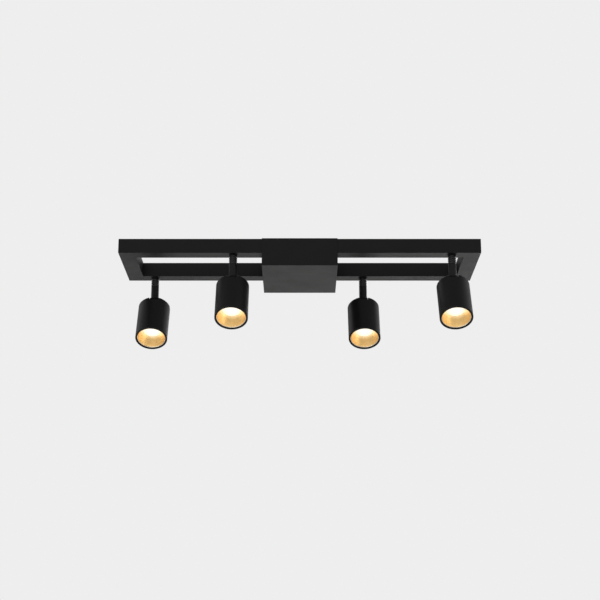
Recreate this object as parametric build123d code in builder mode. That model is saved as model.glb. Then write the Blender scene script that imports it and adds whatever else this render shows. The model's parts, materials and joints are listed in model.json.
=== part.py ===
from build123d import *
import math
import os

# Four-spot ceiling light: a rectangular frame of square-cornered tube, a canopy box across
# its middle that hides the driver, and four cylindrical spot heads on swivel stems.
# Millimetres. The ceiling is the plane z = 0, X runs along the frame, the front faces -Y.

# --- Frame -----------------------------------------------------------------------------
frame_length = 600.0
frame_width = 156.0
rail_width = 27.0
rail_height = 24.5
rail_wall = 1.5
rail_edge_radius = 0.8
ceiling_gap = 0.5                       # the tubes hang just clear of the ceiling
rail_bottom = -ceiling_gap - rail_height
rail_line = (frame_width - rail_width) / 2      # distance of a long rail's centre line from X
rail_inner_face = frame_width / 2 - rail_width

# --- Canopy ----------------------------------------------------------------------------
canopy_length = 125.4
canopy_height = 47.0
canopy_wall = 1.0
canopy_stand = 1.25                     # how far the canopy stands proud of the rails
canopy_width = frame_width + 2 * canopy_stand
canopy_edge_radius = 0.8
notch_gap = 0.25
cover_hole_gap = 0.3

# --- Ceiling bracket -------------------------------------------------------------------
plate = 1.5                             # sheet thickness of the bracket
bracket_length = canopy_length - 2 * canopy_wall - 0.6
bracket_width = 92.0
bracket_corner = 6.0
flange_drop = 16.0
flange_width = 40.0
ceiling_hole_radius = 2.6
ceiling_hole_spacing = (90.0, 60.0)
cover_screw_height = -9.0
cover_screw_radius = 1.7
cable_entry_x = -48.0
cable_radius = 4.0                      # bore of the grommet, for an 8 mm mains cable
grommet_radius = 7.0
grommet_lip = 9.0
grommet_lip_thickness = 1.6
grommet_length = 5.0
grommet_squeeze = 0.1
grommet_taper = 1.0

# --- Saddles that hang the rails from the bracket --------------------------------------
saddle_thickness = 2.0
saddle_half_length = 22.0
saddle_reach = 21.0
saddle_drop = 18.0
saddle_screw_radius = 1.9
saddle_plate_screws = 12.0              # half spacing of the screws into the bracket
saddle_rail_screws = 16.0               # half spacing of the screws into the rail
lead_height = -9.0
lead_radius = 1.5
lead_spread = 3.5                       # half spacing of the two leads that enter a rail
lead_hole_radius = 6.0
lead_bend = 8.0
lead_drop_bend = 5.0
lead_inlet = 9.0                        # how far a lead reaches into the canopy

# --- Driver, terminals and earth -------------------------------------------------------
driver_size = (62.0, 36.0, 22.0)
driver_x = 21.0
driver_tab = 6.0
driver_tab_thickness = 2.0
driver_screw_radius = 1.4
driver_corner = 3.0
driver_edge_radius = 1.2
terminal_size = (14.0, 30.0, 13.0)
terminal_x = -27.0
terminal_ways = 3
terminal_pitch = 9.0
terminal_chamfer = 2.0
terminal_screw_well = (2.2, 5.0)        # radius and depth
terminal_wire_radius = 2.0
earth_place = (-36.0, 22.0)
earth_radius = 2.0
earth_length = 9.8
earth_nut = (4.0, 3.2)                  # corner radius and thickness

# --- Screws ----------------------------------------------------------------------------
screw_gap = 0.05                        # between a shank and its hole, on the radius
shank_end = 0.2                         # a shank stops this far short of the far face
pan_head_height = 1.1                   # these four are shares of the shank's radius
pan_head_radius = 1.85
socket_radius = 0.8
socket_depth = 0.77

# --- Swivel: collar on the rail, stem below it -----------------------------------------
collar_radius = 6.9
collar_length = 15.0
collar_rings = (4.2, 7.0, 12.2)         # depth of the ring grooves below the rail
ring_groove = 0.7
ring_depth = 0.5
turned_chamfer = 0.4
neck_radius = 5.0                       # threaded neck through the tube wall
neck_above_wall = 4.5
neck_gap = 0.1
nut_across_flats = 14.0
nut_thickness = 3.5
stem_radius = 6.7
stem_bore = 2.5
bore_floor = 5.0                        # the bore for the leads ends this far above the pivot
spigot_radius = 4.0
running_gap = 0.05
face_gap = 0.3
spigot_rise = 2.5                       # how far the spigot stands above the neck
clip_thickness = 0.8
clip_seat_gap = 0.1
clip_bore_gap = 0.02
clip_radius = 6.2
clip_groove_radius = 3.4

# --- Spot heads ------------------------------------------------------------------------
tilt_at_rest = 28.5                     # degrees from straight down, towards the front
pivot_drop = 52.0                       # below the underside of the rails
head_radius = 27.2
head_wall = 1.8
crown_height = 7.2                      # flat top of the head above the pivot
crown_radius = 12.0
shoulder_drop = 10.4                    # height of the rounded shoulder
shoulder_bulge = 1.7
rim_chamfer = 0.5
mouth_depth = 75.4                      # rim of the head below the pivot
chamber_top = -21.5                     # the can is solid from here up to its crown
slot_width = 16.0
slot_throat = 7.6                       # half height of the slot where the stem swings out
slot_back = 8.4
slot_overrun = 2.0                      # the slot is cut this far past the can's skin
knuckle_radius = 16.3                   # the stem ends in a drum that fills the slot
knuckle_length = slot_width - 2 * face_gap
knuckle_chamfer = 0.5
pocket_radius = 17.2
pin_radius = 3.0
pin_gap = 0.02
pin_end = 19.0
pin_head_radius = 4.6
pin_head_seat = 15.0
pin_head_length = 2.2
pin_head_gap = 0.2
pin_socket = (2.3, 1.7)                 # corner radius and depth
mouth_radius = 23.9
lens_radius = 16.0
lens_depth = 20.0                       # lens rim above the mouth
lens_dome = 2.0
lens_thickness = 1.5
reflector_wall = 0.9
reflector_belly = 0.9
throat_gap = 0.3
flange_gap = 0.2
bezel_height = 1.4
bezel_recess = 0.3
bezel_gap = 0.1
flange_thickness = 1.2
board_radius = 19.0
board_thickness = 2.0
sink_base = 4.0
sink_radius = 25.0
sink_clearance = 1.0
sink_core = 9.0
sink_fins = 12
fin_thickness = 1.6

# Each head's place along the frame and the side of the frame that it hangs from.
outer_head_x = 252.7
inner_head_x = 110.5
heads = {
    1: (-outer_head_x, rail_line),
    2: (-inner_head_x, -rail_line),
    3: (inner_head_x, rail_line),
    4: (outer_head_x, -rail_line),
}

os.makedirs("parts", exist_ok=True)


def save(piece, name):
    """Labels a finished piece and writes it."""
    piece.part.label = name
    export_step(piece.part, f"parts/{name}.step")


def heads_on(side):
    """The places of the two heads that hang from the rail on this side, -1 front, 1 back."""
    return [(x, y) for x, y in heads.values() if y * side > 0]


# --- Frame rails -----------------------------------------------------------------------
def rail_corners(length, reach, skin):
    """Corners of a rail's plan, mitred at both ends, or of its hollow, a skin smaller."""
    outer_y = reach - skin
    inner_y = reach - rail_width + skin
    outer_x = length / 2 - skin
    inner_x = length / 2 - rail_width + skin
    return (-outer_x, -outer_y), (outer_x, -outer_y), (inner_x, -inner_y), (-inner_x, -inner_y)


def rail_tube(length, reach, turn):
    """A closed-section tube along one side of the frame, turned about Z into its place."""
    base = Plane.XY.rotated((0, 0, turn)).offset(rail_bottom)
    along = Axis.X if turn % 180 == 0 else Axis.Y
    with BuildPart() as tube:
        with BuildSketch(base):
            with BuildLine():
                Polyline(*rail_corners(length, reach, 0), close=True)
            make_face()
        extrude(amount=rail_height)
        fillet(tube.edges().filter_by(along), rail_edge_radius)
        with BuildSketch(base.offset(rail_wall)):
            with BuildLine():
                Polyline(*rail_corners(length, reach, rail_wall), close=True)
            make_face()
        extrude(amount=rail_height - 2 * rail_wall, mode=Mode.SUBTRACT)
    return tube


def long_rail(side):
    """The front (side -1) or back (side 1) rail, with its swivel, lead and screw holes."""
    inner_wall = Plane(origin=(0, side * rail_inner_face, 0), x_dir=(1, 0, 0), z_dir=(0, side, 0))
    with BuildPart() as rail:
        add(rail_tube(frame_length, frame_width / 2, 0 if side < 0 else 180).part)
        with BuildSketch(Plane.XY.offset(rail_bottom)):
            with Locations(*heads_on(side)):
                Circle(neck_radius + neck_gap)
        extrude(amount=rail_wall, mode=Mode.SUBTRACT)
        with BuildSketch(inner_wall):
            with Locations((0, -side * lead_height)):
                Circle(lead_hole_radius)
            with Locations(
                (-saddle_rail_screws, -side * lead_height), (saddle_rail_screws, -side * lead_height)
            ):
                Circle(saddle_screw_radius + screw_gap)
        extrude(amount=rail_wall, mode=Mode.SUBTRACT)
    return rail


save(long_rail(-1), "front_rail")
save(long_rail(1), "back_rail")
save(rail_tube(frame_width, frame_length / 2, 90), "right_rail")
save(rail_tube(frame_width, frame_length / 2, 270), "left_rail")

# --- Canopy cover ----------------------------------------------------------------------
notch_height = ceiling_gap + rail_height + notch_gap
notch_width = canopy_stand - canopy_wall + rail_width + notch_gap
notch_line = canopy_width / 2 - canopy_wall - notch_width / 2

with BuildPart() as canopy_cover:
    with BuildSketch(Plane.XY.offset(-canopy_height)):
        Rectangle(canopy_length, canopy_width)
    extrude(amount=canopy_height)
    upright = canopy_cover.edges().filter_by(Axis.Z)
    underneath = canopy_cover.faces().sort_by(Axis.Z)[0].edges()
    fillet(upright + underneath, canopy_edge_radius)
    with BuildSketch(Plane.XY.offset(-canopy_height + canopy_wall)):
        Rectangle(canopy_length - 2 * canopy_wall, canopy_width - 2 * canopy_wall)
    extrude(amount=canopy_height, mode=Mode.SUBTRACT)
    with BuildSketch(Plane.YZ):
        with Locations((notch_line, -notch_height / 2), (-notch_line, -notch_height / 2)):
            Rectangle(notch_width, notch_height)
    extrude(amount=canopy_length, both=True, mode=Mode.SUBTRACT)
    with BuildSketch(Plane.YZ):
        with Locations((0, cover_screw_height)):
            Circle(cover_screw_radius + cover_hole_gap)
    extrude(amount=canopy_length, both=True, mode=Mode.SUBTRACT)
save(canopy_cover, "canopy_cover")

# --- Ceiling bracket -------------------------------------------------------------------
flange_face = bracket_length / 2
saddle_screw_line = rail_inner_face - saddle_reach / 2
driver_screw_x = driver_size[0] / 2 + driver_tab / 2

with BuildPart() as ceiling_bracket:
    with BuildSketch(Plane.XY.offset(-plate)):
        RectangleRounded(bracket_length - 2 * plate, bracket_width, bracket_corner)
    extrude(amount=plate)
    with BuildSketch(Plane.YZ.offset(flange_face - plate)):
        with Locations((0, -flange_drop / 2)):
            Rectangle(flange_width, flange_drop)
    extrude(amount=plate)
    with BuildSketch(Plane.YZ.offset(-flange_face)):
        with Locations((0, -flange_drop / 2)):
            Rectangle(flange_width, flange_drop)
    extrude(amount=plate)
    with BuildSketch(Plane.XY.offset(-plate)):
        with GridLocations(*ceiling_hole_spacing, 2, 2):
            Circle(ceiling_hole_radius)
        with GridLocations(2 * saddle_plate_screws, 2 * saddle_screw_line, 2, 2):
            Circle(saddle_screw_radius + screw_gap)
        with Locations((driver_x - driver_screw_x, 0), (driver_x + driver_screw_x, 0)):
            Circle(driver_screw_radius + screw_gap)
        with Locations((cable_entry_x, 0)):
            Circle(grommet_radius)
        with Locations(earth_place):
            Circle(earth_radius + screw_gap)
    extrude(amount=plate, mode=Mode.SUBTRACT)
    with BuildSketch(Plane.YZ):
        with Locations((0, cover_screw_height)):
            Circle(cover_screw_radius + screw_gap)
    extrude(amount=bracket_length, both=True, mode=Mode.SUBTRACT)
save(ceiling_bracket, "ceiling_bracket")

# --- Saddles ---------------------------------------------------------------------------
saddle_top = -plate


def saddle(side):
    """An angle of folded sheet that joins one long rail to the bracket's underside."""
    upright_plane = Plane(
        origin=(0, side * (rail_inner_face - saddle_thickness), 0),
        x_dir=(1, 0, 0), z_dir=(0, side, 0),
    )
    with BuildPart() as angle:
        with BuildSketch(Plane.XY.offset(saddle_top - saddle_thickness)):
            with Locations((0, side * (rail_inner_face - saddle_reach / 2))):
                Rectangle(2 * saddle_half_length, saddle_reach)
        extrude(amount=saddle_thickness)
        with BuildSketch(upright_plane):
            with Locations((0, -side * (saddle_top - saddle_drop / 2))):
                Rectangle(2 * saddle_half_length, saddle_drop)
        extrude(amount=saddle_thickness)
        with BuildSketch(Plane.XY.offset(saddle_top - saddle_thickness)):
            with Locations(
                (-saddle_plate_screws, side * saddle_screw_line),
                (saddle_plate_screws, side * saddle_screw_line),
            ):
                Circle(saddle_screw_radius + screw_gap)
        extrude(amount=saddle_thickness, mode=Mode.SUBTRACT)
        with BuildSketch(upright_plane):
            with Locations((0, -side * lead_height)):
                Circle(lead_hole_radius)
            with Locations(
                (-saddle_rail_screws, -side * lead_height), (saddle_rail_screws, -side * lead_height)
            ):
                Circle(saddle_screw_radius + screw_gap)
        extrude(amount=saddle_thickness, mode=Mode.SUBTRACT)
    return angle


save(saddle(-1), "front_saddle")
save(saddle(1), "back_saddle")


# --- Screws ----------------------------------------------------------------------------
def pan_head_screw(seat, shank_radius, shank_length):
    """A pan head with a hexagon socket on the seat plane's +Z side, its shank below."""
    head_height = pan_head_height * shank_radius
    with BuildPart() as screw:
        with BuildSketch(seat):
            Circle(shank_radius)
        extrude(amount=-shank_length)
        with BuildSketch(seat):
            Circle(pan_head_radius * shank_radius)
        extrude(amount=head_height)
        with BuildSketch(seat.offset(head_height)):
            RegularPolygon(socket_radius * shank_radius, 6)
        extrude(amount=-socket_depth * shank_radius, mode=Mode.SUBTRACT)
    return screw.part


with BuildPart() as saddle_screws:
    for side in (-1, 1):
        for end in (-1, 1):
            under_plate = Plane(
                origin=(
                    end * saddle_plate_screws, side * saddle_screw_line,
                    saddle_top - saddle_thickness,
                ),
                z_dir=(0, 0, -1),
            )
            add(pan_head_screw(under_plate, saddle_screw_radius, saddle_thickness + plate - shank_end))
            inside_rail = Plane(
                origin=(
                    end * saddle_rail_screws, side * (rail_inner_face - saddle_thickness),
                    lead_height,
                ),
                z_dir=(0, -side, 0),
            )
            add(pan_head_screw(inside_rail, saddle_screw_radius, saddle_thickness + rail_wall + 2))
save(saddle_screws, "saddle_screws")

with BuildPart() as cover_screws:
    for end in (-1, 1):
        outside = Plane(origin=(end * canopy_length / 2, 0, cover_screw_height), z_dir=(end, 0, 0))
        add(pan_head_screw(outside, cover_screw_radius, 5.0))
save(cover_screws, "cover_screws")

# --- Driver, terminal block, earth stud and cable grommet ------------------------------
driver_top = -plate

with BuildPart() as led_driver:
    with BuildSketch(Plane.XY.offset(driver_top - driver_size[2])):
        with Locations((driver_x, 0)):
            RectangleRounded(driver_size[0], driver_size[1], driver_corner)
    extrude(amount=driver_size[2])
    fillet(led_driver.faces().sort_by(Axis.Z)[0].edges(), driver_edge_radius)
    with BuildSketch(Plane.XY.offset(driver_top - driver_tab_thickness)):
        with Locations((driver_x, 0)):
            Rectangle(driver_size[0] + 2 * driver_tab, driver_size[1] / 3)
        with Locations((driver_x - driver_screw_x, 0), (driver_x + driver_screw_x, 0)):
            Circle(driver_screw_radius + neck_gap, mode=Mode.SUBTRACT)
    extrude(amount=driver_tab_thickness)
save(led_driver, "led_driver")

with BuildPart() as driver_screws:
    for end in (-1, 1):
        under_tab = Plane(
            origin=(driver_x + end * driver_screw_x, 0, driver_top - driver_tab_thickness),
            z_dir=(0, 0, -1),
        )
        add(pan_head_screw(under_tab, driver_screw_radius, driver_tab_thickness + plate - shank_end))
save(driver_screws, "driver_screws")

with BuildPart() as terminal_block:
    with BuildSketch(Plane.XY.offset(-plate - terminal_size[2])):
        with Locations((terminal_x, 0)):
            Rectangle(terminal_size[0], terminal_size[1])
    extrude(amount=terminal_size[2])
    chamfer(terminal_block.edges().filter_by(Axis.Y).group_by(Axis.Z)[0], terminal_chamfer)
    for way in range(terminal_ways):
        way_y = (way - (terminal_ways - 1) / 2) * terminal_pitch
        with BuildSketch(Plane.XY.offset(-plate - terminal_size[2])):
            with Locations((terminal_x, way_y)):
                Circle(terminal_screw_well[0])
        extrude(amount=terminal_screw_well[1], mode=Mode.SUBTRACT)
        with BuildSketch(Plane.YZ.offset(terminal_x)):
            with Locations((way_y, -plate - terminal_size[2] / 2)):
                Circle(terminal_wire_radius)
        extrude(amount=terminal_size[0], both=True, mode=Mode.SUBTRACT)
save(terminal_block, "terminal_block")

with BuildPart() as earth_stud:
    with BuildSketch(Plane.XY.offset(-shank_end)):
        with Locations(earth_place):
            Circle(earth_radius)
    extrude(amount=-plate - earth_length)
    with BuildSketch(Plane.XY.offset(-plate)):
        with Locations(earth_place):
            RegularPolygon(earth_nut[0], 6)
    extrude(amount=-earth_nut[1])
save(earth_stud, "earth_stud")

with BuildPart() as cable_grommet:
    with BuildSketch(Plane.XZ):
        with BuildLine():
            Polyline(
                (cable_radius, 0),
                (grommet_radius - grommet_squeeze, 0),
                (grommet_radius - grommet_squeeze, -plate),
                (grommet_lip, -plate),
                (grommet_lip, -plate - grommet_lip_thickness),
                (grommet_radius - grommet_taper, -grommet_length),
                (cable_radius, -grommet_length),
                close=True,
            )
        make_face()
    revolve(axis=Axis.Z)
with BuildPart() as placed_grommet:
    with Locations((cable_entry_x, 0, 0)):
        add(cable_grommet.part)
save(placed_grommet, "cable_grommet")


# --- Leads inside the long rails -------------------------------------------------------
lead_start = rail_inner_face - lead_inlet
spigot_top = rail_bottom + rail_wall + neck_above_wall + spigot_rise


def lead(side, head_x, run_y):
    """One lead: in through the rail's inner wall, along the rail, down to the stem's bore."""
    start_x = math.copysign(lead_spread, head_x)
    with BuildPart() as tube:
        with BuildLine() as route:
            FilletPolyline(
                (start_x, side * lead_start, lead_height),
                (start_x, run_y, lead_height),
                (head_x, run_y, lead_height),
                (head_x, run_y, spigot_top + face_gap),
                radius=[lead_bend, lead_drop_bend],
            )
        with BuildSketch(Plane(origin=route.line @ 0, z_dir=route.line % 0)):
            Circle(lead_radius)
        sweep(path=route.line)
    return tube.part


for side, name in ((-1, "front_leads"), (1, "back_leads")):
    with BuildPart() as leads:
        for head_x, run_y in heads_on(side):
            add(lead(side, head_x, run_y))
    save(leads, name)

# --- Swivels and spot heads ------------------------------------------------------------
neck_top = rail_bottom + rail_wall + neck_above_wall
collar_bottom = rail_bottom - collar_length
pivot_height = rail_bottom - pivot_drop
clip_height = neck_top + clip_seat_gap

with BuildPart() as swivel_nuts:
    with BuildSketch(Plane.XY.offset(rail_bottom + rail_wall)):
        with Locations(*heads.values()):
            RegularPolygon(nut_across_flats / 2, 6, major_radius=False)
            Circle(neck_radius + screw_gap, mode=Mode.SUBTRACT)
    extrude(amount=nut_thickness)
save(swivel_nuts, "swivel_nuts")


def swivel_collar(x, y):
    """The fixed bearing of one swivel: a ringed collar with a threaded neck above it."""
    at = Location((x, y))
    with BuildPart() as collar:
        with BuildSketch(Plane.XY.offset(collar_bottom)):
            with Locations(at):
                Circle(collar_radius)
        extrude(amount=collar_length)
        chamfer(collar.faces().sort_by(Axis.Z)[0].edges(), turned_chamfer)
        with BuildSketch(Plane.XY.offset(rail_bottom)):
            with Locations(at):
                Circle(neck_radius)
        extrude(amount=rail_wall + neck_above_wall)
        for depth in collar_rings:
            with BuildSketch(Plane.XY.offset(rail_bottom - depth - ring_groove)):
                with Locations(at):
                    Circle(collar_radius + 1)
                    Circle(collar_radius - ring_depth, mode=Mode.SUBTRACT)
            extrude(amount=ring_groove, mode=Mode.SUBTRACT)
        with BuildSketch(Plane.XY.offset(collar_bottom)):
            with Locations(at):
                Circle(spigot_radius + running_gap)
        extrude(amount=neck_top - collar_bottom, mode=Mode.SUBTRACT)
    return collar


def knuckle_drum(end_face):
    """The solid drum at the stem's foot, its two rims chamfered."""
    with BuildPart() as drum:
        with BuildSketch(end_face):
            Circle(knuckle_radius)
        extrude(amount=knuckle_length)
        chamfer(drum.edges(), knuckle_chamfer)
    return drum.part


def stem(x, y):
    """The turning stem of one head: spigot, tube and the drum that takes the pivot."""
    at = Location((x, y))
    tube_top = collar_bottom - face_gap
    with BuildPart() as arm:
        with BuildSketch(Plane.XY.offset(pivot_height)):
            with Locations(at):
                Circle(stem_radius)
        extrude(amount=tube_top - pivot_height)
        chamfer(arm.faces().sort_by(Axis.Z)[-1].edges(), turned_chamfer)
        with BuildSketch(Plane.XY.offset(tube_top)):
            with Locations(at):
                Circle(spigot_radius)
        extrude(amount=spigot_top - tube_top)
        with BuildSketch(Plane.XY.offset(clip_height)):
            with Locations(at):
                Circle(spigot_radius + 1)
                Circle(clip_groove_radius, mode=Mode.SUBTRACT)
        extrude(amount=clip_thickness, mode=Mode.SUBTRACT)
        knuckle_plane = Plane(
            origin=(x - knuckle_length / 2, y, pivot_height), x_dir=(0, 1, 0), z_dir=(1, 0, 0)
        )
        add(knuckle_drum(knuckle_plane))
        with BuildSketch(knuckle_plane):
            Circle(pin_radius + running_gap)
        extrude(amount=knuckle_length, mode=Mode.SUBTRACT)
        with BuildSketch(Plane.XY.offset(pivot_height + bore_floor)):
            with Locations(at):
                Circle(stem_bore)
        extrude(amount=spigot_top - pivot_height, mode=Mode.SUBTRACT)
    return arm


def retaining_clip(x, y):
    """The open ring that snaps into the spigot's groove and rests on the collar's neck."""
    with BuildPart() as clip:
        with BuildSketch(Plane.XY.offset(clip_height)):
            with Locations((x, y)):
                Circle(clip_radius)
                Circle(clip_groove_radius + clip_bore_gap, mode=Mode.SUBTRACT)
            with Locations((x, y + clip_radius)):
                Rectangle(2 * clip_groove_radius - 2, 2 * clip_radius - 2, mode=Mode.SUBTRACT)
        extrude(amount=clip_thickness)
    return clip


def head_plane(x, y):
    """A head's own frame: the pivot at its origin, Z up the head's axis, its mouth at -Z."""
    tilt = math.radians(tilt_at_rest)
    return Plane(
        origin=(x, y, pivot_height), x_dir=(1, 0, 0), z_dir=(0, math.sin(tilt), math.cos(tilt))
    )


def section_plane(frame):
    """The plane that cuts a head along its axis: its X is the radius, its Y is up the axis."""
    return Plane(origin=frame.origin, x_dir=frame.x_dir, z_dir=-frame.y_dir)


def side_plane(frame):
    """The plane through the pivot that faces along the pivot's axis."""
    return Plane(origin=frame.origin, x_dir=frame.y_dir, z_dir=frame.x_dir)


rim = -mouth_depth
shoulder_foot = crown_height - shoulder_drop
shoulder_run = head_radius - crown_radius
shoulder_slope = math.hypot(shoulder_run, shoulder_drop)
shoulder_middle = (
    (crown_radius + head_radius) / 2 + shoulder_bulge * shoulder_drop / shoulder_slope,
    (crown_height + shoulder_foot) / 2 + shoulder_bulge * shoulder_run / shoulder_slope,
)
chamber_radius = head_radius - head_wall
slot_reach = head_radius + slot_overrun
bezel_bottom = rim + bezel_recess
bezel_top = bezel_bottom + bezel_height
lens_rim = rim + lens_depth
lens_crown = lens_rim - lens_dome
lens_back = lens_rim + lens_thickness


def head_shell(x, y):
    """The can of one head: domed solid end with the stem's slot, open chamber below."""
    frame = head_plane(x, y)
    across = side_plane(frame)
    with BuildPart() as shell:
        with BuildSketch(section_plane(frame)):
            with BuildLine():
                Line((0, crown_height), (crown_radius, crown_height))
                ThreePointArc(
                    (crown_radius, crown_height), shoulder_middle, (head_radius, shoulder_foot)
                )
                Line((head_radius, shoulder_foot), (head_radius, rim + rim_chamfer))
                Line((head_radius, rim + rim_chamfer), (head_radius - rim_chamfer, rim))
                Line((head_radius - rim_chamfer, rim), (0, rim))
                Line((0, rim), (0, crown_height))
            make_face()
        revolve(axis=Axis(frame.origin, frame.z_dir))
        with BuildSketch(frame.offset(rim)):
            Circle(chamber_radius)
        extrude(amount=chamber_top - rim, mode=Mode.SUBTRACT)
        with BuildSketch(across.offset(-slot_width / 2)):
            Circle(pocket_radius)
            with Locations(((slot_back - slot_reach) / 2, crown_height)):
                Rectangle(slot_back + slot_reach, 2 * crown_height)
            with Locations((-slot_reach / 2, 0)):
                Rectangle(slot_reach, 2 * slot_throat)
        extrude(amount=slot_width, mode=Mode.SUBTRACT)
        with BuildSketch(across.offset(-pin_end)):
            Circle(pin_radius + pin_gap)
        extrude(amount=pin_end + head_radius, mode=Mode.SUBTRACT)
        with BuildSketch(across.offset(pin_head_seat)):
            Circle(pin_head_radius + pin_head_gap)
        extrude(amount=head_radius, mode=Mode.SUBTRACT)
        with BuildSketch(frame.offset(chamber_top)):
            Circle(stem_bore)
        extrude(amount=-chamber_top, mode=Mode.SUBTRACT)
    return shell


def pivot_screw(x, y):
    """The shoulder screw that the head tilts on, its socket head in the right cheek."""
    frame = head_plane(x, y)
    across = side_plane(frame)
    with BuildPart() as pin:
        with BuildSketch(across.offset(face_gap - pin_end)):
            Circle(pin_radius)
        extrude(amount=pin_head_seat + pin_end - face_gap)
        with BuildSketch(across.offset(pin_head_seat)):
            Circle(pin_head_radius)
        extrude(amount=pin_head_length)
        with BuildSketch(across.offset(pin_head_seat + pin_head_length)):
            RegularPolygon(pin_socket[0], 6)
        extrude(amount=-pin_socket[1], mode=Mode.SUBTRACT)
    return pin


def bezel(x, y):
    """The thin ring that holds the reflector in the head's mouth."""
    frame = head_plane(x, y)
    with BuildPart() as ring:
        with BuildSketch(frame.offset(bezel_bottom)):
            Circle(chamber_radius - bezel_gap)
            Circle(mouth_radius, mode=Mode.SUBTRACT)
        extrude(amount=bezel_height)
    return ring


def reflector(x, y):
    """The gold cone between the mouth and the lens, with the flange that seats on the bezel."""
    frame = head_plane(x, y)
    throat = lens_radius + throat_gap
    middle_height = (bezel_top + lens_rim) / 2
    middle_radius = (mouth_radius + throat) / 2 + reflector_belly
    outer = reflector_wall
    with BuildPart() as cone:
        with BuildSketch(section_plane(frame)):
            with BuildLine():
                ThreePointArc(
                    (mouth_radius, bezel_top), (middle_radius, middle_height), (throat, lens_rim)
                )
                Line((throat, lens_rim), (throat + outer, lens_rim))
                ThreePointArc(
                    (throat + outer, lens_rim), (middle_radius + outer, middle_height),
                    (mouth_radius + outer, bezel_top + flange_thickness),
                )
                Line(
                    (mouth_radius + outer, bezel_top + flange_thickness),
                    (chamber_radius - flange_gap, bezel_top + flange_thickness),
                )
                Line(
                    (chamber_radius - flange_gap, bezel_top + flange_thickness),
                    (chamber_radius - flange_gap, bezel_top),
                )
                Line((chamber_radius - flange_gap, bezel_top), (mouth_radius, bezel_top))
            make_face()
        revolve(axis=Axis(frame.origin, frame.z_dir))
    return cone


def lens(x, y):
    """The shallow diffusing dome over the light source, at the reflector's throat."""
    frame = head_plane(x, y)
    with BuildPart() as dome:
        with BuildSketch(section_plane(frame)):
            with BuildLine():
                ThreePointArc(
                    (0, lens_crown), (lens_radius / 2, lens_crown + lens_dome / 4),
                    (lens_radius, lens_rim),
                )
                Line((lens_radius, lens_rim), (lens_radius, lens_back))
                Line((lens_radius, lens_back), (0, lens_back))
                Line((0, lens_back), (0, lens_crown))
            make_face()
        revolve(axis=Axis(frame.origin, frame.z_dir))
    return dome


def led_board(x, y):
    """The round board with the light source, clamped against the heat sink."""
    frame = head_plane(x, y)
    with BuildPart() as board:
        with BuildSketch(frame.offset(lens_back)):
            Circle(board_radius)
        extrude(amount=board_thickness)
    return board


def heat_sink(x, y):
    """The aluminium sink above the board: a base disc, a core and radial fins."""
    frame = head_plane(x, y)
    base_bottom = lens_back + board_thickness
    base_top = base_bottom + sink_base
    fin_height = chamber_top - sink_clearance - base_top
    with BuildPart() as sink:
        with BuildSketch(frame.offset(base_bottom)):
            Circle(sink_radius)
        extrude(amount=sink_base)
        with BuildSketch(frame.offset(base_top)):
            Circle(sink_core)
            with PolarLocations(sink_radius / 2, sink_fins):
                Rectangle(sink_radius - 0.4, fin_thickness)
        extrude(amount=fin_height)
    return sink


makers = {
    "swivel_collar": swivel_collar,
    "stem": stem,
    "retaining_clip": retaining_clip,
    "head_shell": head_shell,
    "pivot_screw": pivot_screw,
    "bezel": bezel,
    "reflector": reflector,
    "lens": lens,
    "led_board": led_board,
    "heat_sink": heat_sink,
}
for number, (head_x, head_y) in heads.items():
    for name, make in makers.items():
        save(make(head_x, head_y), f"{name}_{number}")
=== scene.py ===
import json
import math

import bmesh
import bpy
from mathutils import Matrix, Vector


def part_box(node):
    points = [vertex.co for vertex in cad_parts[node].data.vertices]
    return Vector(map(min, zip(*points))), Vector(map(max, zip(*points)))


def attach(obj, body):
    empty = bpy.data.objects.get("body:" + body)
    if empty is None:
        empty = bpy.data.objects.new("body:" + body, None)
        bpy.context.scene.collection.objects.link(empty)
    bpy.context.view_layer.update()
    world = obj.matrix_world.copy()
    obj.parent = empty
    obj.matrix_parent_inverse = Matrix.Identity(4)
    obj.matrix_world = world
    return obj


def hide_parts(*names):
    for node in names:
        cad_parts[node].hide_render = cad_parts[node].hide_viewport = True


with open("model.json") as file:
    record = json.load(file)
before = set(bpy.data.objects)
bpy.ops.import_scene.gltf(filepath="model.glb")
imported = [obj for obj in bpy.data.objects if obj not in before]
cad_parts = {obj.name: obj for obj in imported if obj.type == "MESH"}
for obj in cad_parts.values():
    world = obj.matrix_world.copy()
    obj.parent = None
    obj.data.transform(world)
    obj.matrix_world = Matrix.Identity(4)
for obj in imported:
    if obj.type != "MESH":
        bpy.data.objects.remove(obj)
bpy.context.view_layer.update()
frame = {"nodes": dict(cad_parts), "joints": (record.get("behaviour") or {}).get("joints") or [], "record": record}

scene = bpy.context.scene
scene.view_settings.view_transform = "Standard"
record = frame["record"]
joints = {j["name"]: j for j in frame["joints"]}
HEADS = (1, 2, 3, 4)

# --- Driving values (metres and degrees, unless a comment says otherwise) ----------------
MILLIMETRE = 0.001
TILT_AT_REST = 28.5                  # from straight down, towards the front

CAMERA_FOCAL = 81.485                # mm
CAMERA_SENSOR = 36.0                 # mm
CAMERA_PITCH = 16.44                 # above the horizon
CAMERA_DISTANCE = 2.1289             # from the frame's front face, along Y
CAMERA_DROP = 0.7345                 # below the ceiling plane
CAMERA_SIDE = 0.0005                 # to the right of the frame's middle
CAMERA_CLIP = (0.05, 60.0)

FLOOR_DROP = 2.4                     # below the ceiling plane
FLOOR_SIZE = 44.0
FLOOR_CELLS = 24                     # along each side

# Levels of the world. The spans are the parts of a direction's Z or Y over which one changes.
BACKGROUND = 0.855                   # what the camera sees
WALLS = 0.85                         # what light and reflections see, all round
OVERHEAD = 0.35                      # and straight above
OVERHEAD_SPAN = (0.45, 0.95)
BEHIND = 0.3                         # the share of those two that is left behind the object
BEHIND_SPAN = (0.6, 0.92)

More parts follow.
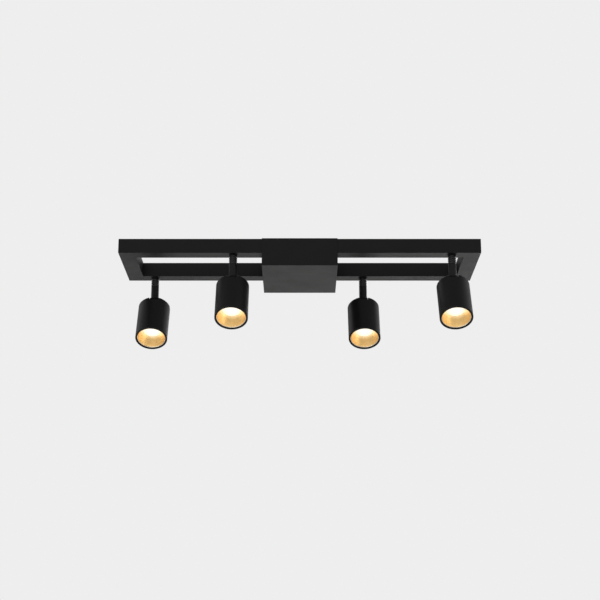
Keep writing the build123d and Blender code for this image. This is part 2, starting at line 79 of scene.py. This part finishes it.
NOISE_SPAN = (0.3, 0.7)              # where most of a noise's values lie
EDGE_SPAN = (0.998, 0.90)            # cosine of the turned normal: still flat, fully an edge
EDGE_SAMPLES = 6
PAINT_EDGE = 0.7 * MILLIMETRE        # width of the worn band along an edge
BARE_EDGE = 0.5 * MILLIMETRE

ON_AXIS = 1e-7                       # a smaller radius counts as zero
ROUNDING = 80                        # how far a rounded rim's arc goes to each side of its middle


# --- Materials --------------------------------------------------------------------------
class Graph:
    """A node tree, with short calls for the nodes used most."""

    def __init__(self, tree):
        self.tree = tree

    def node(self, kind, **settings):
        made = self.tree.nodes.new(kind)
        for key, value in settings.items():
            setattr(made, key, value)
        return made

    def join(self, source, target):
        self.tree.links.new(source, target)

    def ramp(self, source, low, high, low_value, high_value, **settings):
        """Takes low..high to low_value..high_value, and holds the end values beyond."""
        made = self.node("ShaderNodeMapRange", **settings)
        for key, value in (("From Min", low), ("From Max", high), ("To Min", low_value),
                           ("To Max", high_value)):
            made.inputs[key].default_value = value
        self.join(source, made.inputs["Value"])
        return made.outputs["Result"]

    def maths(self, operation, first, second):
        made = self.node("ShaderNodeMath", operation=operation)
        for socket, value in zip(made.inputs, (first, second)):
            if isinstance(value, (int, float)):
                socket.default_value = value
            else:
                self.join(value, socket)
        return made.outputs[0]


class Finish(Graph):
    """A material's node tree, around its one shader."""

    def __init__(self, name):
        self.material = bpy.data.materials.new(name)
        self.material.use_nodes = True
        super().__init__(self.material.node_tree)
        self.shader = self.tree.nodes["Principled BSDF"]
        self.place = self.node("ShaderNodeTexCoord").outputs["Object"]

    def set(self, **values):
        """Sets uniform values on the shader's sockets, with _ for each space in a name."""
        for key, value in values.items():
            socket = self.shader.inputs[key.replace("_", " ")]
            socket.default_value = (*value, 1.0) if isinstance(value, tuple) else value
        return self

    def feed(self, **sources):
        """Joins node outputs to the shader's sockets, named as in set()."""
        for key, source in sources.items():
            self.join(source, self.shader.inputs[key.replace("_", " ")])

    def stretched(self, scale):
        mapping = self.node("ShaderNodeMapping")
        mapping.inputs["Scale"].default_value = scale
        self.join(self.place, mapping.inputs["Vector"])
        return mapping.outputs["Vector"]

    def noise(self, scale, detail=3.0, roughness=0.55, vector=None):
        made = self.node("ShaderNodeTexNoise")
        made.inputs["Scale"].default_value = scale
        made.inputs["Detail"].default_value = detail
        made.inputs["Roughness"].default_value = roughness
        self.join(vector or self.place, made.inputs["Vector"])
        return made.outputs["Fac"]

    def spread(self, noise, low_value=0.0, high_value=1.0):
        """Takes a noise's usual values to low_value..high_value."""
        return self.ramp(noise, *NOISE_SPAN, low_value, high_value)

    def ring(self):
        """The "ring" attribute that revolved() gives a mesh."""
        return self.node("ShaderNodeAttribute", attribute_name="ring").outputs["Fac"]

    def mix(self, factor, first, second):
        made = self.node("ShaderNodeMix", data_type="RGBA")
        self.join(factor, made.inputs["Factor"])
        for socket, value in ((made.inputs["A"], first), (made.inputs["B"], second)):
            if isinstance(value, tuple):
                socket.default_value = (*value, 1.0)
            else:
                self.join(value, socket)
        return made.outputs["Result"]

    def edges(self, width):
        """0 on flat faces, rising to 1 on an edge, over this width beside it."""
        bevel = self.node("ShaderNodeBevel", samples=EDGE_SAMPLES)
        bevel.inputs["Radius"].default_value = width
        surface = self.node("ShaderNodeNewGeometry")
        turn = self.node("ShaderNodeVectorMath", operation="DOT_PRODUCT")
        self.join(bevel.outputs["Normal"], turn.inputs[0])
        self.join(surface.outputs["Normal"], turn.inputs[1])
        return self.ramp(turn.outputs["Value"], *EDGE_SPAN, 0.0, 1.0)

    def bump(self, height, strength, depth):
        made = self.node("ShaderNodeBump")
        made.inputs["Strength"].default_value = strength
        made.inputs["Distance"].default_value = depth
        self.join(height, made.inputs["Height"])
        self.feed(Normal=made.outputs["Normal"])


def tint(colour, factor):
    return tuple(min(c * factor, 1.0) for c in colour)


def powder_coat(name, colour, rough, grain, specular, wear):
    """Textured paint: fine orange peel, faint dust and handling marks, edges rubbed brighter."""
    dark, light, dust, bare = (tint(colour, factor) for factor in (0.82, 1.18, 1.9, 6.0))
    g = Finish(name).set(Specular_IOR_Level=specular)
    clouds = g.noise(scale=9.0, detail=4.0)
    peel = g.noise(scale=grain, detail=2.0, roughness=0.5)
    specks = g.noise(scale=grain * 0.35, detail=1.0, roughness=0.4)
    smudges = g.noise(scale=24.0, detail=5.0, roughness=0.6)
    base = g.mix(g.spread(clouds), dark, light)
    dusty = g.mix(g.ramp(specks, 0.62, 0.78, 0.0, 0.5), base, dust)
    rubbed = g.maths("MULTIPLY", g.edges(PAINT_EDGE), g.ramp(clouds, 0.35, 0.65, 0.3, 1.0))
    handled = g.ramp(smudges, 0.35, 0.7, rough - 0.02, rough + 0.03)
    g.feed(
        Base_Color=g.mix(g.maths("MULTIPLY", rubbed, wear), dusty, bare),
        Roughness=g.maths("SUBTRACT", handled, g.maths("MULTIPLY", rubbed, 0.1)),
    )
    g.bump(peel, strength=0.35, depth=0.12 * MILLIMETRE)
    return g.material


def machined(name, colour, rough, stretch):
    """Turned or rolled bare metal: fine lines, tarnish in clouds, bright edges."""
    tarnished, clean, bright = (tint(colour, factor) for factor in (0.8, 1.08, 1.25))
    g = Finish(name).set(Metallic=1.0, Specular_IOR_Level=0.5)
    lines = g.noise(scale=180.0, detail=3.0, roughness=0.6, vector=g.stretched(stretch))
    base = g.mix(g.spread(g.noise(scale=35.0, detail=4.0)), tarnished, clean)
    g.feed(
        Base_Color=g.mix(g.edges(BARE_EDGE), base, bright),
        Roughness=g.spread(lines, rough - 0.07, rough + 0.1),
    )
    g.bump(lines, strength=0.25, depth=0.06 * MILLIMETRE)
    return g.material


def moulded(name, colour, rough, grain):
    """Moulded plastic or rubber: spark-eroded grain and a little flow marbling."""
    dark, light, bright = (tint(colour, factor) for factor in (0.92, 1.05, 1.12))
    along_flow = (1.0, 0.35, 1.0)
    g = Finish(name).set(Specular_IOR_Level=0.45)
    flow = g.noise(scale=45.0, detail=4.0, roughness=0.6, vector=g.stretched(along_flow))
    g.feed(
        Base_Color=g.mix(g.edges(BARE_EDGE), g.mix(g.spread(flow), dark, light), bright),
        Roughness=g.spread(g.noise(scale=grain * 0.4), rough - 0.05, rough + 0.06),
    )
    eroded = g.noise(scale=grain, detail=2.0, roughness=0.5)
    g.bump(eroded, strength=0.3, depth=0.08 * MILLIMETRE)
    return g.material


def gold(name):
    """Satin gold anodising under its clear oxide: spun lines, deeper patches, and a painted highlight: a pale
    glint colour painted on the lip.

    The mesh's "ring" attribute is 1 on the lip. Towards the throat it falls from 0 to -1, and a
    glow there stands for the light that the diffuser spills.
    """
    deep, pale, painted_lip_glint = (0.97, 0.72, 0.38), (0.99, 0.77, 0.43), (0.98, 0.90, 0.76)
    glow, glow_strength = (1.0, 0.86, 0.55), 0.35
    g = Finish(name).set(Metallic=1.0, Coat_Weight=0.6, Coat_Roughness=0.15, Coat_IOR=1.6)
    g.set(Emission_Color=glow)
    spun = g.noise(scale=900.0, detail=2.0, roughness=0.5)
    ring = g.ring()
    body = g.mix(g.ramp(g.noise(scale=60.0), 0.32, 0.68, 0.0, 1.0), deep, pale)
    g.feed(
        # Painted highlight: where "ring" is 1, on the lip, the gold gives way to a pale cream glint colour.
        Base_Color=g.mix(g.ramp(ring, 0.0, 1.0, 0.0, 1.0), body, painted_lip_glint),
        Emission_Strength=g.ramp(ring, -1.0, 0.0, glow_strength, 0.0),
        Roughness=g.spread(spun, 0.26, 0.38),
    )
    g.bump(spun, strength=0.15, depth=0.05 * MILLIMETRE)
    return g.material


def lit_diffuser(name):
    """Frosted diffuser, lit from behind: brightest in the middle, warmer at its rim.

    The mesh's "ring" attribute rises from 0 in the middle to 1 at the rim.
    """
    body, middle, rim = (0.62, 0.60, 0.54), (1.0, 0.94, 0.82), (1.0, 0.88, 0.62)
    middle_strength, rim_strength = 0.88, 0.74
    g = Finish(name).set(Roughness=0.45, Base_Color=body)
    ring = g.ring()
    g.feed(
        Emission_Color=g.mix(g.ramp(ring, 0.5, 1.0, 0.0, 1.0), middle, rim),
        Emission_Strength=g.ramp(ring, 0.6, 1.0, middle_strength, rim_strength),
    )
    g.bump(g.noise(scale=1400.0, detail=2.0), strength=0.2, depth=0.05 * MILLIMETRE)
    return g.material


BLACK = (0.0050, 0.0050, 0.0051)
finishes = {
    # name, colour, roughness, grain, specular level, wear on the edges
    "black_frame": powder_coat("frame_powder_coat", BLACK, 0.46, 2600.0, 0.15, 0.5),
    "black_head": powder_coat("head_satin_coat", BLACK, 0.42, 3400.0, 0.15, 0.4),
    "black_swivel": powder_coat("swivel_satin_coat", BLACK, 0.38, 3800.0, 0.18, 0.6),
    "collar_rings": powder_coat("collar_polished_coat", BLACK, 0.26, 3800.0, 0.45, 1.0),
    "black_bezel": powder_coat("bezel_matt_coat", tint(BLACK, 0.8), 0.5, 3000.0, 0.2, 0.2),
    # name, colour, roughness, stretch of the fine lines
    "black_screw": machined("blackened_steel", (0.06, 0.06, 0.062), 0.38, (1.0, 1.0, 4.0)),
    "aluminium": machined("cast_aluminium", (0.62, 0.62, 0.63), 0.45, (1.0, 1.0, 1.0)),
    "zinc_steel": machined("zinc_plated_steel", (0.58, 0.6, 0.62), 0.34, (0.15, 1.0, 1.0)),
    "screw_steel": machined("plated_screw_steel", (0.55, 0.55, 0.56), 0.28, (1.0, 1.0, 5.0)),
    "spring_steel": machined("phosphated_spring_steel", (0.2, 0.2, 0.21), 0.4, (1.0, 1.0, 1.0)),
    # name, colour, roughness, grain
    "driver_case": moulded("driver_housing", (0.78, 0.78, 0.76), 0.5, 1800.0),
    "terminal_plastic": moulded("terminal_polyamide", (0.82, 0.8, 0.74), 0.42, 1500.0),
    "grommet_rubber": moulded("grommet_rubber", (0.02, 0.02, 0.02), 0.62, 2200.0),
    "board": moulded("white_board_mask", (0.84, 0.84, 0.82), 0.35, 2600.0),
    "lead_sheath": moulded("silicone_sheath", (0.78, 0.78, 0.76), 0.48, 2000.0),
    "gold_reflector": gold("gold_anodised"),
    "lit_lens": lit_diffuser("lit_diffuser"),
}
slot_of = {s["node"]: s["material_slot"] for s in record["subparts"]}
for name, node in frame["nodes"].items():
    node.data.materials.clear()
    node.data.materials.append(finishes[slot_of[name]])


# --- Pieces made here -------------------------------------------------------------------
def revolved(name, profile, place, segments, ring_of=None):
    """A closed solid of revolution about local Z.

    The profile is a loop of (radius, height) points, or a line of them from axis to axis.
    ring_of, if given, turns a radius into the value kept in the mesh's "ring" attribute.
    """
    mesh = bpy.data.meshes.new(name)
    work = bmesh.new()
    turns = [2 * math.pi * k / segments for k in range(segments)]
    rings = []
    for radius, height in profile:
        if radius < ON_AXIS:
            rings.append([work.verts.new((0.0, 0.0, height))])
            continue
        rings.append([
            work.verts.new((radius * math.cos(t), radius * math.sin(t), height)) for t in turns
        ])
    loop = len(rings[0]) > 1
    following = rings[1:] + rings[:1] if loop else rings[1:]
    for near, far in zip(rings, following):
        for k in range(segments):
            after = (k + 1) % segments
            corners = [near[k % len(near)], near[after % len(near)], far[after % len(far)],
                       far[k % len(far)]]
            unique = list(dict.fromkeys(corners))
            if len(unique) > 2:
                work.faces.new(unique)
    bmesh.ops.recalc_face_normals(work, faces=work.faces)
    work.to_mesh(mesh)
    work.free()
    if ring_of:
        layer = mesh.attributes.new("ring", "FLOAT", "POINT")
        for vertex, value in zip(mesh.vertices, layer.data):
            value.value = ring_of(math.hypot(vertex.co.x, vertex.co.y))
    mesh.transform(place)
    mesh.shade_smooth()
    piece = bpy.data.objects.new(name, mesh)
    scene.collection.objects.link(piece)
    return piece


def sharpen(piece, degrees):
    """Marks the edges sharper than this angle, so that they stay crisp under smooth shading."""
    piece.data.set_sharp_from_angle(angle=math.radians(degrees))


def arc(centre, radius, start, end, steps):
    """Points of a circular arc, angles in degrees."""
    angles = [math.radians(start + (end - start) * k / steps) for k in range(steps + 1)]
    return [(centre[0] + radius * math.cos(a), centre[1] + radius * math.sin(a)) for a in angles]


def finished(piece, body, slot, *nodes, finish=None):
    """Gives a piece its finish (the one named by its slot, unless finish names another) and its body, and takes
    the place of any CAD nodes named.
    """
    piece.data.materials.append(finishes[finish or slot])
    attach(piece, body)
    if nodes:
        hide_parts(*nodes)


def head_place(number):
    """Takes local coordinates to a head at rest: pivot at the origin, Z up its axis."""
    pivot = Vector(joints[f"tilt_{number}"]["pos_m"])
    return Matrix.Translation(pivot) @ Matrix.Rotation(-math.radians(TILT_AT_REST), 4, "X")


def head_measures(node, number):
    """Lowest and highest place of a head's CAD node along the head's axis, and its radius."""
    inverse = head_place(number).inverted()
    places = [inverse @ v.co for v in frame["nodes"][node].data.vertices]
    heights = [p.z for p in places]
    return min(heights), max(heights), max(math.hypot(p.x, p.y) for p in places)


def make_reflector(number):
    """Spun gold cone: gently bellied wall, rolled lip at the mouth, flange behind the bezel."""
    low, high, flange = head_measures(f"reflector_{number}", number)
    flange_top = low + 1.1 * MILLIMETRE
    gap = 0.1 * MILLIMETRE
    mouth = flange - 2.0 * MILLIMETRE
    throat = 16.3 * MILLIMETRE
    wall = 0.7 * MILLIMETRE
    belly = 0.9 * MILLIMETRE
    lip = 0.9 * MILLIMETRE
    spill = 2.6 * MILLIMETRE
    steps = 24
    inside = []
    for k in range(steps + 1):
        share = k / steps
        bulge = belly * 4 * share * (1 - share)
        radius = mouth + (throat - mouth) * share + bulge
        inside.append((radius, low + lip + (high - low - lip) * share))
    outside = [(r + wall, z) for r, z in reversed(inside) if z > flange_top + gap]
    rolled = arc((mouth + lip, low + lip), lip, 180, 270, 6)
    profile = inside + outside + [(mouth + wall, flange_top), (flange, flange_top), (flange, low)]
    profile += list(reversed(rolled))[:-1]

    # The ring value picks where the gold paints light: 1 on the lip for a painted glint, falling to -1 at the
    # throat for a painted glow of spilled light.
    def ring(radius):
        if radius > mouth + gap:
            return 1.0
        return -max(0.0, 1 - (radius - throat) / spill)

    piece = revolved(f"gold_cone_{number}", profile, head_place(number), 144, ring_of=ring)
    sharpen(piece, 40)
    finished(piece, f"head_{number}_body", "gold_reflector", f"reflector_{number}")


def make_diffuser(number):
    """Shallow frosted dome with fine concentric steps, and its flat back."""
    low, high, radius = head_measures(f"lens_{number}", number)
    rim = high - 1.5 * MILLIMETRE
    step_height = 0.06 * MILLIMETRE
    riser = 0.3                      # share of a step's width that its sloping side takes
    chamfer = 0.2 * MILLIMETRE
    steps = 16
    profile = [(0.0, low)]
    for k in range(1, steps + 1):
        share = k / steps
        height = low + (rim - low) * share ** 2
        profile.append((radius * (share - riser / steps), height - step_height * (k % 2)))
        profile.append((radius * share, height))
    profile += [(radius, high - chamfer), (radius - chamfer, high), (0.0, high)]
    piece = revolved(
        f"diffuser_{number}", profile, head_place(number), 96, ring_of=lambda r: r / radius
    )
    sharpen(piece, 60)
    finished(piece, f"head_{number}_body", "lit_lens", f"lens_{number}")


def make_collar_seat(number):
    """Thin rounded washer where the collar meets the rail's underside."""
    x, y, _ = joints[f"pan_{number}"]["pos_m"]
    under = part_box("front_rail")[0].z
    inner = 6.52 * MILLIMETRE
    outer = 7.6 * MILLIMETRE
    thick = 0.9 * MILLIMETRE
    half = thick / 2
    profile = [(inner, under), (outer - half, under)]
    profile += arc((outer - half, under - half), half, ROUNDING, -ROUNDING, 8)
    profile += [(outer - half, under - thick), (inner, under - thick)]
    piece = revolved(f"collar_seat_{number}", profile, Matrix.Translation((x, y, 0.0)), 72)
    sharpen(piece, 50)
    finished(piece, "root", "black_swivel")


def make_collar(number):
    """Collar turned with rounded rings between grooves, and its neck up into the rail."""
    x, y, _ = joints[f"pan_{number}"]["pos_m"]
    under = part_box("front_rail")[0].z
    low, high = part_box(f"swivel_collar_{number}")
    places = [v.co for v in frame["nodes"][f"swivel_collar_{number}"].data.vertices]
    neck = max(math.hypot(p.x - x, p.y - y) for p in places if p.z > under + MILLIMETRE)
    bore = min(math.hypot(p.x - x, p.y - y) for p in places)
    radius = high.x - x
    rings = 4
    groove = 1.5 * MILLIMETRE
    groove_floor = 5.0 * MILLIMETRE
    bulge = 0.45 * MILLIMETRE
    pitch = (under - low.z) / rings
    half = (pitch - groove) / 2
    rounding = [math.radians(d) for d in range(-ROUNDING, ROUNDING + 1, 20)]
    profile = [(bore, low.z)]
    for k in range(rings):
        middle = low.z + pitch * k + half
        profile += [(groove_floor, middle - half)]
        profile += [(radius - bulge + bulge * math.cos(a), middle + half * math.sin(a))
                    for a in rounding]
        profile += [(groove_floor, middle + half), (groove_floor, middle + half + groove)]
    profile += [(neck, under), (neck, high.z), (bore, high.z)]
    piece = revolved(f"ringed_collar_{number}", profile, Matrix.Translation((x, y, 0.0)), 96)
    sharpen(piece, 50)
    finished(piece, "root", "black_swivel", f"swivel_collar_{number}", finish="collar_rings")


for number in HEADS:
    make_collar(number)
    make_reflector(number)
    make_diffuser(number)
    make_collar_seat(number)


# --- Camera, light and floor ------------------------------------------------------------
def make_camera():
    data = bpy.data.cameras.new("camera")
    data.lens = CAMERA_FOCAL
    data.sensor_width = CAMERA_SENSOR
    data.clip_start, data.clip_end = CAMERA_CLIP
    camera = bpy.data.objects.new("camera", data)
    scene.collection.objects.link(camera)
    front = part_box("front_rail")[0].y
    camera.location = (CAMERA_SIDE, front - CAMERA_DISTANCE, -CAMERA_DROP)
    camera.rotation_euler = (math.radians(90 + CAMERA_PITCH), 0, 0)
    scene.camera = camera


def make_area(name, place, aim, size, power):
    """A rectangular light that the camera doesn't see."""
    data = bpy.data.lights.new(name, "AREA")
    data.shape = "RECTANGLE"
    data.size, data.size_y = size
    data.energy = power
    light = bpy.data.objects.new(name, data)
    scene.collection.objects.link(light)
    light.location = place
    light.rotation_euler = (Vector(aim) - Vector(place)).to_track_quat("-Z", "Y").to_euler()
    light.visible_camera = False


def make_world():
    """A plain pale backdrop, and for light a soft studio, dimmer overhead and behind."""
    world = bpy.data.worlds.new("studio")
    world.use_nodes = True
    g = Graph(world.node_tree)
    backdrop = g.tree.nodes["Background"]
    backdrop.inputs["Color"].default_value = (BACKGROUND, BACKGROUND, BACKGROUND, 1.0)
    studio = g.node("ShaderNodeBackground")
    studio.inputs["Color"].default_value = (1.0, 1.0, 1.0, 1.0)
    axes = g.node("ShaderNodeSeparateXYZ")
    g.join(g.node("ShaderNodeTexCoord").outputs["Generated"], axes.inputs["Vector"])
    smooth = {"interpolation_type": "SMOOTHSTEP"}
    overhead = g.ramp(axes.outputs["Z"], *OVERHEAD_SPAN, WALLS, OVERHEAD, **smooth)
    behind = g.ramp(axes.outputs["Y"], *BEHIND_SPAN, 1.0, BEHIND, **smooth)
    g.join(g.maths("MULTIPLY", overhead, behind), studio.inputs["Strength"])
    either = g.node("ShaderNodeMixShader")
    g.join(g.node("ShaderNodeLightPath").outputs["Is Camera Ray"], either.inputs["Fac"])
    g.join(studio.outputs[0], either.inputs[1])
    g.join(backdrop.outputs[0], either.inputs[2])
    g.join(either.outputs[0], g.tree.nodes["World Output"].inputs["Surface"])
    scene.world = world


def make_floor():
    """A pale floor below the object, for its underside to reflect."""
    mesh = bpy.data.meshes.new("floor")
    work = bmesh.new()
    bmesh.ops.create_grid(
        work, x_segments=FLOOR_CELLS, y_segments=FLOOR_CELLS, size=FLOOR_SIZE / 2
    )
    work.to_mesh(mesh)
    work.free()
    floor = bpy.data.objects.new("floor", mesh)
    scene.collection.objects.link(floor)
    floor.location = (0, 0, -FLOOR_DROP)
    g = Finish("floor_plaster").set(Specular_IOR_Level=0.2)
    darker, lighter = (0.80, 0.80, 0.79), (0.84, 0.84, 0.83)
    g.feed(
        Base_Color=g.mix(g.spread(g.noise(scale=1.5)), darker, lighter),
        Roughness=g.spread(g.noise(scale=20.0), 0.7, 0.85),
    )
    floor.data.materials.append(g.material)


make_world()
make_camera()
make_floor()
make_area(
    "floor_glow", place=(5.0, 7.0, 0.6), aim=(3.8, 7.0, -FLOOR_DROP), size=(4.6, 5.0), power=560.0
)
make_area(
    "low_front_left", place=(-0.6, -1.1, -0.65), aim=(-0.05, -0.05, -0.08), size=(1.4, 0.8),
    power=4.2,
)
